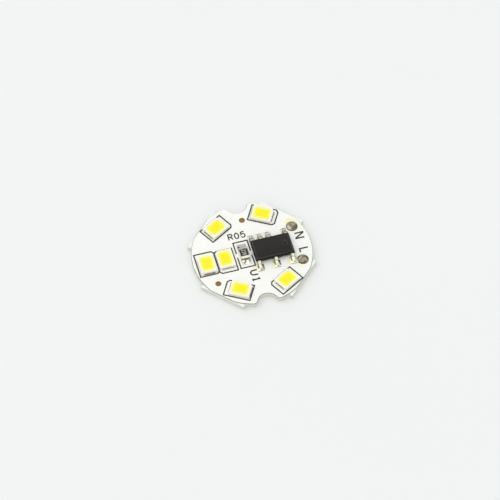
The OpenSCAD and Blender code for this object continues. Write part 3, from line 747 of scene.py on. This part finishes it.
class LEDBOARD_OT_chip(Operator):
    """Finish the driver chip and its leads, and set the solder of each lead"""
    bl_idname = "ledboard.chip"
    bl_label = "Driver chip"

    def execute(self, context):
        settings, solder = context.scene.driver_chip, context.scene.board_solder
        far, near = ([f"chip_lead_{k}" for k in side] for side in (FAR_LEADS, NEAR_LEADS))
        self.body(settings)
        dress(tin_plate("tin_plated_lead", tuple(settings.tin), linear("9A9284"), roughness=0.28), *far)
        # The near leads are yellowed by flux and painted brighter than the far ones: a painted highlight.
        dress(tin_plate("lit_tin_lead_in_flux", linear("F6F5DE"), linear("D2CFA4"), roughness=0.28), *near)
        soften(settings.rounding, *far, *near)
        dress(tin_plate("bright_solder", linear("F4F2EA"), linear("D6D0C0"), roughness=0.3), "led_solder")
        bm = bmesh.new()
        for lead in (*far, *near):
            joint = self.joint(solder, lead)
            bm.from_mesh(joint)
            bpy.data.meshes.remove(joint)
        piece = finish_piece(bm, "lead_joints", self.dull_solder(solder), "solder", "chip_solder")
        piece.data.materials.append(self.lit_near_solder())
        smooth = piece.modifiers.new("Flowed", "SUBSURF")
        smooth.levels = smooth.render_levels = 2
        return {"FINISHED"}

    def body(self, settings):
        """The moulded body: two halves that taper from the parting line, with rounded edges and a dimple."""
        solid = [vert.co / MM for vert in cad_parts["chip_body"].data.vertices]
        low, high = (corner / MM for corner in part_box("chip_body"))
        size, centre = high - low, (low + high) / 2
        top = [co for co in solid if co.z > high.z - LEVEL]
        taper_x = (max(co.x for co in top) - centre.x) / (high.x - centre.x)
        taper_y = (max(co.y for co in top) - centre.y) / (high.y - centre.y)
        bm = bmesh.new()
        bmesh.ops.create_cube(bm, size=1)
        everything = bm.verts[:] + bm.edges[:] + bm.faces[:]
        bmesh.ops.bisect_plane(bm, geom=everything, plane_co=(0, 0, 0), plane_no=(0, 0, 1))
        bmesh.ops.scale(bm, vec=size, verts=bm.verts)
        ends = [vert for vert in bm.verts if abs(vert.co.z) > size.z / 4]
        bmesh.ops.scale(bm, vec=(taper_x, taper_y, 1), verts=ends)
        sharp = [edge for edge in bm.edges if max(abs(vert.co.z) for vert in edge.verts) > size.z / 4]
        bmesh.ops.bevel(
            bm, geom=sharp, offset=settings.mould_rounding / MM, offset_type="OFFSET", affect="EDGES",
            segments=3, profile=0.5, material=-1, clamp_overlap=True,
        )
        self.dimple(settings, bm, size)
        bmesh.ops.recalc_face_normals(bm, faces=bm.faces)
        bmesh.ops.translate(bm, vec=centre, verts=bm.verts)
        piece = finish_piece(bm, "chip_mould", epoxy_mould(settings), "black_mould", "chip_body", crease=28)
        even = piece.modifiers.new("Flat faces", "WEIGHTED_NORMAL")
        even.keep_sharp = True

    def dimple(self, settings, bm, size):
        """Sink a round dimple into the top of the body."""
        lid = max(bm.faces, key=lambda face: face.calc_center_median().z)
        rim = lid.edges[:]
        bmesh.ops.delete(bm, geom=[lid], context="FACES_ONLY")
        spot = Matrix.Translation((size.x / 2 - settings.dimple_inset / MM, 0, size.z / 2))
        ring = bmesh.ops.create_circle(
            bm, cap_ends=False, radius=settings.dimple / 2 / MM, segments=32, matrix=spot
        )
        mouth = list(dict.fromkeys(edge for vert in ring["verts"] for edge in vert.link_edges))
        bmesh.ops.triangle_fill(bm, use_beauty=True, edges=rim + mouth)
        floor = made_verts(bmesh.ops.extrude_edge_only(bm, edges=mouth))
        bmesh.ops.translate(bm, vec=(0, 0, -settings.dimple_depth / MM), verts=floor)
        bmesh.ops.scale(bm, vec=(DIMPLE_DRAFT, DIMPLE_DRAFT, 1), space=spot.inverted(), verts=floor)
        bmesh.ops.contextual_create(bm, geom=floor)

    def joint(self, solder, lead):
        """The solder of one lead: a pad on the land, drawn up along the sides and heel of the foot."""
        low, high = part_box(lead)
        spot = middle(lead)
        far = spot.y > middle("chip_body").y
        away = 1 if far else -1
        width = (solder.far_width if far else solder.near_width) / MM
        reach = solder.land_length / MM
        beside = (high.x - low.x) / 2 / MM
        tip = (high.y if far else low.y) / MM + away * solder.land_out / MM
        bm = bmesh.new()
        bmesh.ops.create_cube(bm, size=1)
        bmesh.ops.subdivide_edges(bm, edges=bm.edges[:], cuts=5, use_grid_fill=True)
        bmesh.ops.scale(bm, vec=(width, reach, LAND_SOLDER), verts=bm.verts)
        for vert in bm.verts:
            from_tip = 0.5 - away * vert.co.y / reach
            if far:
                vert.co.x *= LAND_TIP + (1 - LAND_TIP) * from_tip
            if vert.co.z > 0:
                drawn = 1 - min(max(abs(vert.co.x) - beside, 0) / (width / 2 - beside), 1)
                slope = min(from_tip / CLIMB_RUN, 1) * CLIMB_LOW * (1 + from_tip ** 2)
                vert.co.z += drawn ** 2 * solder.climb / MM * slope
        bmesh.ops.translate(bm, vec=(spot.x, tip - away * reach / 2, low.z / MM), verts=bm.verts)
        for face in bm.faces:
            face.material_index = 0 if far else 1
        mesh = bpy.data.meshes.new("joint")
        bm.to_mesh(mesh)
        bm.free()
        return mesh

    def dull_solder(self, solder):
        """The grey solder of the far leads, with burnt flux at the one beside the wire pad."""
        stains = [(tuple(solder.burnt), marks_at(*FAR_JOINT_STAINS))]
        return solder_metal("dull_solder", linear("B7B6A6"), linear("84826F"), stains)

    def lit_near_solder(self):
        """The solder of the near leads, painted bright as a highlight, with a dark stripe of painted shade
        and an olive stripe of flux and painted shade along each foot.
        """
        dark, olive = [], []
        for k, right, left in NEAR_STRIPES:
            lead = f"chip_lead_{k}"
            # Painted shade: a dark stripe right of each foot and along its toe, and an olive stripe of flux
            # and painted shade left of it.
            dark.append((lead, 0.43, -0.3, 0.03, 0.15, right, 0, 0.4))
            dark.append((lead, 0.05, -0.84, 0.02, 0.12, 0.7, 0.08, 0))
            olive.append((lead, -0.3, -0.22, 0.04, 0.16, left, 0, 0.32))
        stains = [(linear("58562E"), marks_at(*olive)), (linear("2E2A1A"), marks_at(*dark))]
        return solder_metal("lit_near_solder", linear("FBF8EA"), linear("E6E2C8"), stains, ragged=0.05)


class LEDBOARD_OT_resistor(Operator):
    """Finish the resistor's core, coat, end caps and solder"""
    bl_idname = "ledboard.resistor"
    bl_label = "Resistor"

    def execute(self, context):
        settings = context.scene.driver_chip
        dress(fired("alumina", linear("F3F0E6"), linear("E6E2D6"), roughness=0.5), "resistor_core")
        dress(fired("black_glaze", linear("0A0908"), linear("14120F"), roughness=0.3), "resistor_coat")
        smudges = marks_at(("resistor_end_far", -0.5, 0.2, 0.05, 0.2, 0.9))
        # Painted shade: the far cap is painted greyer than the near one.
        far_end = tin_plate(
            "tin_end_far", linear("C4BDB8"), linear("9C948E"), roughness=0.35, smudges=smudges
        )
        dress(far_end, "resistor_end_far")
        near_end = tin_plate("tin_end_near", linear("F4F1E6"), linear("CFC8B4"), roughness=0.3)
        dress(near_end, "resistor_end_near")
        dress(self.fillet(), "resistor_solder")
        ends = ("resistor_end_far", "resistor_end_near")
        soften(settings.rounding * RESISTOR_ROUNDING, "resistor_core", "resistor_coat", *ends)
        return {"FINISHED"}

    def fillet(self):
        """The bright solder of both ends, with grey, olive and dark places near the ends' outer faces; the
        grey at the far end is painted shade.
        """
        far, near = middle("resistor_end_far").x, middle("resistor_end_near").x
        far_y, near_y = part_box("resistor_end_far")[1].y / MM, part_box("resistor_end_near")[0].y / MM
        # Painted shade: the far end's solder is greyer.
        grey = [(far, far_y + 0.3, 0.5, 0.75, 1.0, 0.3, 0)]
        olive = [
            (near, near_y + 0.01, 0.07, 0.16, 1.0, 0.6, 0),
            (far - 0.56, far_y + 0.2, 0.02, 0.14, 0.8, 0, 0.2),
        ]
        toes = [
            (near + 0.52, near_y - 0.33, 0.04, 0.18, 0.75, 0, 0.17),
            (near - 0.32, near_y - 0.5, 0.08, 0.28, 0.85),
        ]
        pits = [(near - 0.1, near_y - 0.28, 0.07, 0.13, 1.0), (far - 0.42, far_y + 0.42, 0.07, 0.15, 1.0)]
        stains = [
            (linear("BDB5B0"), grey),
            (linear("77754A"), olive),
            (linear("6B6558"), toes),
            (linear("282318"), pits),
        ]
        return solder_metal("resistor_fillet", linear("FAF7EC"), linear("EFEADD"), stains, ragged=0.06)


class LEDBOARD_OT_wire_pads(Operator):
    """Tin the two wire pads with lumpy solder"""
    bl_idname = "ledboard.wire_pads"
    bl_label = "Wire pads"

    def execute(self, context):
        settings = context.scene.board_solder
        # The brown places are flux and painted shade.
        stains = [(tuple(settings.burnt), marks_at(*PAD_FLUX_AND_SHADE))]
        metal = solder_metal("tinned_pad", tuple(settings.bright), tuple(settings.dull), stains)
        self.dome(settings, "line_pad_solder", metal, seed=3)
        self.dome(settings, "neutral_pad_solder", metal, seed=8)
        return {"FINISHED"}

    def dome(self, settings, node, metal, seed):
        """One tinned pad: a low dome with a wavy rim and frozen ripples."""
        low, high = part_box(node)
        spot = middle(node)
        radius, rise = (high.x - low.x) / 2 / MM, (high.z - low.z) / MM
        bm = bmesh.new()
        verts = [bm.verts.new((x * radius, 0, z * rise)) for x, z in DOME_SIDE]
        edges = [bm.edges.new(pair) for pair in zip(verts, verts[1:])]
        bmesh.ops.spin(
            bm, geom=verts + edges, axis=(0, 0, 1), cent=(0, 0, 0), angle=math.tau, steps=48, use_merge=True
        )
        bmesh.ops.remove_doubles(bm, verts=bm.verts, dist=MERGED)
        bmesh.ops.holes_fill(bm, edges=bm.edges[:], sides=0)
        bmesh.ops.recalc_face_normals(bm, faces=bm.faces)
        lump = settings.lump / MM
        for vert in bm.verts:
            if vert.co.z < LEVEL:
                continue
            out = Vector((vert.co.x, vert.co.y, 0))
            share = out.length / radius
            vert.co += out.normalized() * lump * share * ripple(out, RIM_WAVES, seed)
            uneven = lump * vert.co.z / rise * ripple(out, TOP_WAVES, seed + 1)
            vert.co.z = min(vert.co.z + uneven, rise)
        bmesh.ops.translate(bm, vec=(spot.x, spot.y, low.z / MM), verts=bm.verts)
        finish_piece(bm, node.replace("_solder", "_tinning"), metal, "solder", node)


def bow(x, y, wide, high, start, end):
    """Points on a stretched arc about (x, y), between two angles in degrees."""
    turns = [math.radians(start + (end - start) * k / ARC_STEPS) for k in range(ARC_STEPS + 1)]
    return [(x + wide * math.cos(a), y + high * math.sin(a)) for a in turns]


# The strokes of each printed mark, in a square of side one
GLYPHS = {
    "N": [[(0, 0), (0, 1), (0.1, 1), (0.9, 0), (1, 0), (1, 1)]],
    "L": [[(0, 1), (0, 0), (1, 0)]],
    "U": [[(0, 1), *bow(0.5, 0.38, 0.5, 0.38, 180, 360), (1, 1)]],
    "R": [[(0, 0), (0, 1), *bow(0.6, 0.76, 0.4, 0.24, 90, -90), (0, 0.52)], [(0.5, 0.52), (1, 0)]],
    "0": [bow(0.5, 0.5, 0.5, 0.5, 90, 450)],
    "1": [[(0, 0.84), (0.4, 1), (0.5, 1), (0.5, 0)], [(0, 0), (1, 0)]],
    "2": [[*bow(0.5, 0.7, 0.46, 0.3, 165, -25), (0, 0), (1, 0)]],
    "5": [[(0.9, 1), (0.14, 1), (0.06, 0.55), *bow(0.45, 0.33, 0.55, 0.33, 125, -150)]],
}


class LEDBOARD_OT_marks(Operator):
    """Print the letters on the board and the value on the resistor"""
    bl_idname = "ledboard.marks"
    bl_label = "Printed marks"

    def execute(self, context):
        settings = context.scene.board_print
        ink = bpy.data.materials["legend_ink"]
        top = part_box("solder_mask")[1].z / MM
        rise, stroke = settings.ink_rise / MM, settings.stroke / MM
        for name, letters, x, y, wide, high, turn, weight in BOARD_MARKS:
            place = Matrix.Translation((x, y, top)) @ turned(turn)
            self.mark(name, letters, place, (wide, high, weight * stroke, BOARD_GAP, rise), ink, "black_ink")
        spot = middle("resistor_coat")
        spot.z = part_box("resistor_coat")[1].z / MM
        paint = fired("marking_paint", tuple(settings.mark), linear("A9A494"), roughness=0.6)
        place = Matrix.Translation(spot) @ turned(-90)
        self.mark("resistor_value", "220", place, VALUE_SIZES, paint, "white_ceramic")
        return {"FINISHED"}

    def mark(self, name, letters, place, sizes, paint, slot):
        """Printed letters side by side about their place.

        The sizes are a letter's width, height and stroke, the gap between two, and the paint's thickness."""
        wide, high, stroke, gap, rise = sizes
        bm = bmesh.new()
        for k, letter in enumerate(letters):
            start = (k - (len(letters) - 1) / 2) * (wide + gap) - wide / 2 + stroke / 2
            for path in GLYPHS[letter]:
                spots = [(start + x * (wide - stroke), (y - 0.5) * (high - stroke), 0) for x, y in path]
                line = [bm.verts.new(spot) for spot in spots]
                for pair in zip(line, line[1:]):
                    bm.edges.new(pair)
        bmesh.ops.remove_doubles(bm, verts=bm.verts, dist=MERGED)
        raised = made_verts(bmesh.ops.extrude_edge_only(bm, edges=bm.edges[:]))
        bmesh.ops.translate(bm, vec=(0, 0, rise), verts=raised)
        bmesh.ops.transform(bm, matrix=place, verts=bm.verts)
        piece = finish_piece(bm, name, paint, slot, crease=30)
        thick = piece.modifiers.new("Stroke", "SOLIDIFY")
        thick.thickness = stroke * MM
        thick.offset = 0
        thick.use_even_offset = True


class LEDBOARD_OT_stage(Operator):
    """Set the table, the soft light and the camera"""
    bl_idname = "ledboard.stage"
    bl_label = "Stage"

    def execute(self, context):
        settings = context.scene.board_stage
        scene = context.scene
        scene.view_settings.view_transform = "Standard"
        bm = bmesh.new()
        bmesh.ops.create_grid(bm, x_segments=4, y_segments=4, size=TABLE_HALF)
        mesh = bpy.data.meshes.new("table")
        bm.to_mesh(mesh)
        bm.free()
        mesh.materials.append(table_top(settings))
        table = bpy.data.objects.new("table", mesh)
        scene.collection.objects.link(table)
        self.world(settings, scene)
        self.lamp(scene, "soft_lamp", settings.lamp, *SOFT_LAMP)
        self.lamp(scene, "front_lamp", settings.fill, *FRONT_LAMP)
        self.camera(settings, scene)
        return {"FINISHED"}

    def world(self, settings, scene):
        """Soft light from all round, which falls off to the horizon and to the right."""
        world = bpy.data.worlds.new("soft_room")
        world.use_nodes = True
        tree = world.node_tree
        x, _, z = axes(tree, add_node(tree, "TexCoord").outputs["Generated"])
        level = maths(tree, "MULTIPLY", ramp(tree, z, *SKY_RISE), ramp(tree, x, *SKY_SIDE))
        strength = maths(tree, "MULTIPLY", level, settings.daylight)
        wire(tree, tree.nodes["Background"], {"Color": linear("FBFCFB"), "Strength": strength})
        scene.world = world

    def lamp(self, scene, name, power, size, spot):
        """One large weak lamp that looks at the board."""
        light = bpy.data.lights.new(name, "AREA")
        light.shape = "DISK"
        light.size = size
        light.energy = power
        holder = bpy.data.objects.new(name, light)
        holder.location = spot
        holder.rotation_mode = "QUATERNION"
        holder.rotation_quaternion = (-holder.location).to_track_quat("-Z", "Y")
        scene.collection.objects.link(holder)

    def camera(self, settings, scene):
        """A long lens, with the middle of the lit face a little right of and below the centre."""
        a, e = settings.azimuth, settings.elevation
        back = Vector((math.sin(a) * math.cos(e), -math.cos(a) * math.cos(e), math.sin(e)))
        right = Vector((math.cos(a), math.sin(a), 0))
        up = back.cross(right)
        pixel = settings.field / PICTURE_SIDE
        face = Vector((0, 0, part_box("solder_mask")[1].z))
        aim = face - right * PICTURE_RIGHT * pixel + up * PICTURE_DOWN * pixel
        lens = bpy.data.cameras.new("camera")
        lens.sensor_width = SENSOR
        lens.lens = SENSOR * settings.distance / settings.field
        lens.clip_start = 0.01
        camera = bpy.data.objects.new("camera", lens)
        camera.location = aim + back * settings.distance
        camera.rotation_mode = "QUATERNION"
        camera.rotation_quaternion = (-back).to_track_quat("-Z", "Y")
        scene.collection.objects.link(camera)
        scene.camera = camera


class LEDBOARD_PT_sidebar(Panel):
    """The board's pieces and their settings"""
    bl_idname = "LEDBOARD_PT_sidebar"
    bl_label = "LED Board"
    bl_space_type = "VIEW_3D"
    bl_region_type = "UI"
    bl_category = "LED Board"

    def draw(self, context):
        for holder, group in GROUPS.items():
            box = self.layout.box()
            for name in group.__annotations__:
                box.prop(getattr(context.scene, holder), name)
        for step in STEPS:
            self.layout.operator(step.bl_idname)


GROUPS = {
    "led_board": BoardSettings,
    "led_package": LedSettings,
    "driver_chip": ChipSettings,
    "board_solder": SolderSettings,
    "board_print": PrintSettings,
    "board_stage": StageSettings,
}
STEPS = (
    LEDBOARD_OT_board,
    LEDBOARD_OT_leds,
    LEDBOARD_OT_chip,
    LEDBOARD_OT_resistor,
    LEDBOARD_OT_wire_pads,
    LEDBOARD_OT_marks,
    LEDBOARD_OT_stage,
)
CLASSES = (*GROUPS.values(), *STEPS, LEDBOARD_PT_sidebar)


def register():
    for made in CLASSES:
        bpy.utils.register_class(made)
    for holder, group in GROUPS.items():
        setattr(bpy.types.Scene, holder, PointerProperty(type=group))


def unregister():
    for holder in GROUPS:
        delattr(bpy.types.Scene, holder)
    for made in reversed(CLASSES):
        bpy.utils.unregister_class(made)


def main():
    """Build the looks in order."""
    register()
    bpy.ops.ledboard.board()
    bpy.ops.ledboard.leds()
    bpy.ops.ledboard.chip()
    bpy.ops.ledboard.resistor()
    bpy.ops.ledboard.wire_pads()
    bpy.ops.ledboard.marks()
    bpy.ops.ledboard.stage()


if __name__ == "__main__":
    main()
